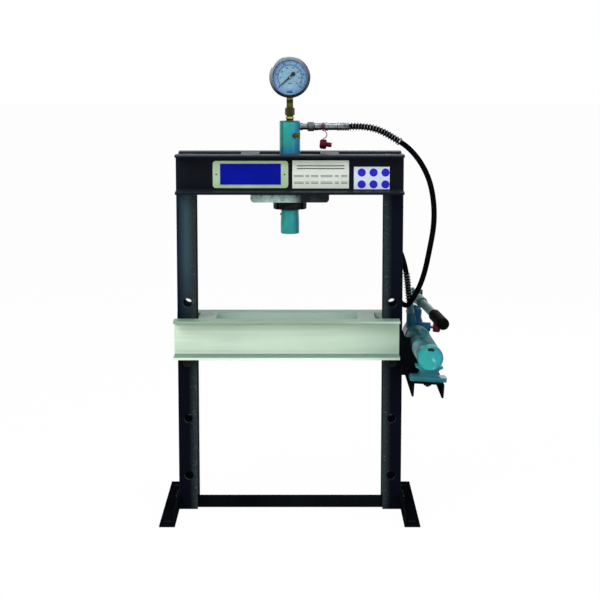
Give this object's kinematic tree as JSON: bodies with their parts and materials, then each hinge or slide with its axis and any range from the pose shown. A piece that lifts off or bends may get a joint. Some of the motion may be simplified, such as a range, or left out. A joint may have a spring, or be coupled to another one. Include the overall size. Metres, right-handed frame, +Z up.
{
  "type": "hydraulic press",
  "caption": "Bench-height H-frame hydraulic press with a side-mounted hand pump, a ram under the beam, a pressure gauge, a hose and a bed on pins.",
  "frame": {"origin": "on the floor under the ram's axis, midway between the uprights", "axes": "+X to the right seen from the front, towards the pump; +Y to the back; +Z up"},
  "size_m": [0.7332, 0.499, 1.1755],
  "materials": {
    "frame_paint": "satin",
    "seat_paint": "satin",
    "black_oxide": "satin",
    "plate_silver": "satin",
    "plate_white": "satin",
    "teal_paint": "glossy",
    "brass": "satin",
    "steel": "satin",
    "chrome": "glossy",
    "dial_white": "satin",
    "needle_black": "satin",
    "glass": "glossy",
    "rubber": "matte",
    "guard_steel": "satin",
    "red_plastic": "glossy",
    "bed_paint": "satin"
  },
  "bodies": {
    "frame": {"left_upright": "frame_paint", "right_upright": "frame_paint", "beam_channel_front": "frame_paint", "beam_channel_rear": "frame_paint", "beam_ties": "frame_paint", "cylinder_seat": "seat_paint", "foot_left": "frame_paint", "foot_right": "frame_paint", "foot_bolts": "black_oxide", "cross_brace": "frame_paint", "name_plate": "plate_silver", "data_plate": "plate_white", "cylinder_body": "teal_paint", "ring_nut": "black_oxide", "guide_bush": "brass", "rod_wiper": "rubber", "port_plug": "brass", "return_spring": "steel", "gauge_adapter": "brass", "gauge_stem": "brass", "gauge_case": "chrome", "gauge_bezel": "chrome", "gauge_dial": "dial_white", "gauge_lens": "glass", "coupler_nipple": "steel", "coupler_body": "steel", "cap_strap": "red_plastic", "dust_cap": "red_plastic", "hose_sleeve_top": "steel", "hose_guard_top": "guard_steel", "hose": "rubber", "hose_guard_bottom": "guard_steel", "hose_sleeve_bottom": "steel", "pump_tray": "frame_paint", "tray_standoff": "frame_paint", "pump_tank": "teal_paint", "pump_end_cap": "teal_paint", "vent_plug": "black_oxide", "pump_head": "teal_paint", "pump_bolts": "black_oxide", "plunger_gland": "steel", "pivot_pin": "black_oxide"},
    "ram": {"piston": "steel", "piston_seal": "rubber", "ram_rod": "chrome", "press_head": "teal_paint", "head_screw": "black_oxide"},
    "bed": {"bed_channel_front": "bed_paint", "bed_channel_rear": "bed_paint", "bed_ties": "bed_paint"},
    "pin_left": {"bed_pin_left": "black_oxide"},
    "pin_right": {"bed_pin_right": "black_oxide"},
    "needle": {"gauge_needle": "needle_black"},
    "collar": {"coupler_collar": "steel"},
    "plunger": {"plunger": "chrome"},
    "handle": {"pump_lever": "teal_paint", "handle_tube": "teal_paint", "handle_grip": "rubber"},
    "valve": {"valve_stem": "steel", "valve_knob": "red_plastic"}
  },
  "joints": [
    {"name": "ram_stroke", "type": "slide", "parent": "frame", "child": "ram", "axis": [0, 0, -1], "range_m": [0, 0.125], "stiffness_N_per_m": 1500, "springref_m": -0.03, "deforming": ["return_spring"]},
    {"name": "bed_lift", "type": "slide", "parent": "frame", "child": "bed", "axis": [0, 0, 1], "range_m": [0, 0.152]},
    {"name": "pin_left_pull", "type": "slide", "parent": "frame", "child": "pin_left", "axis": [0, -1, 0], "range_m": [0, 0.14]},
    {"name": "pin_right_pull", "type": "slide", "parent": "frame", "child": "pin_right", "axis": [0, -1, 0], "range_m": [0, 0.14]},
    {"name": "gauge_needle", "type": "hinge", "parent": "frame", "child": "needle", "pos_m": [0, -0.0128, 1.123], "axis": [0, 1, 0], "range_deg": [0, 265], "stiffness_Nm_per_rad": 0.0005, "springref_deg": -20.05},
    {"name": "coupler_collar", "type": "hinge", "parent": "frame", "child": "collar", "pos_m": [0.054, 0, 0.997], "axis": [1, 0, 0], "continuous": true},
    {"name": "pump_handle", "type": "hinge", "parent": "frame", "child": "handle", "pos_m": [0.34047, 0.18981, 0.54033], "axis": [-0.9975, -0.0349, 0.061], "range_deg": [0, 50]},
    {"name": "pump_plunger", "type": "slide", "parent": "frame", "child": "plunger", "axis": [0.061, 0, 0.9981], "range_m": [0, 0.0235]},
    {"name": "release_valve", "type": "hinge", "parent": "frame", "child": "valve", "pos_m": [0.38355, 0.12646, 0.45454], "axis": [0.9975, 0.0349, -0.061], "range_deg": [0, 270]}
  ],
  "couplings": [
    {"joint": "pump_plunger", "follows": "pump_handle", "m_per_rad": 0.02672}
  ]
}
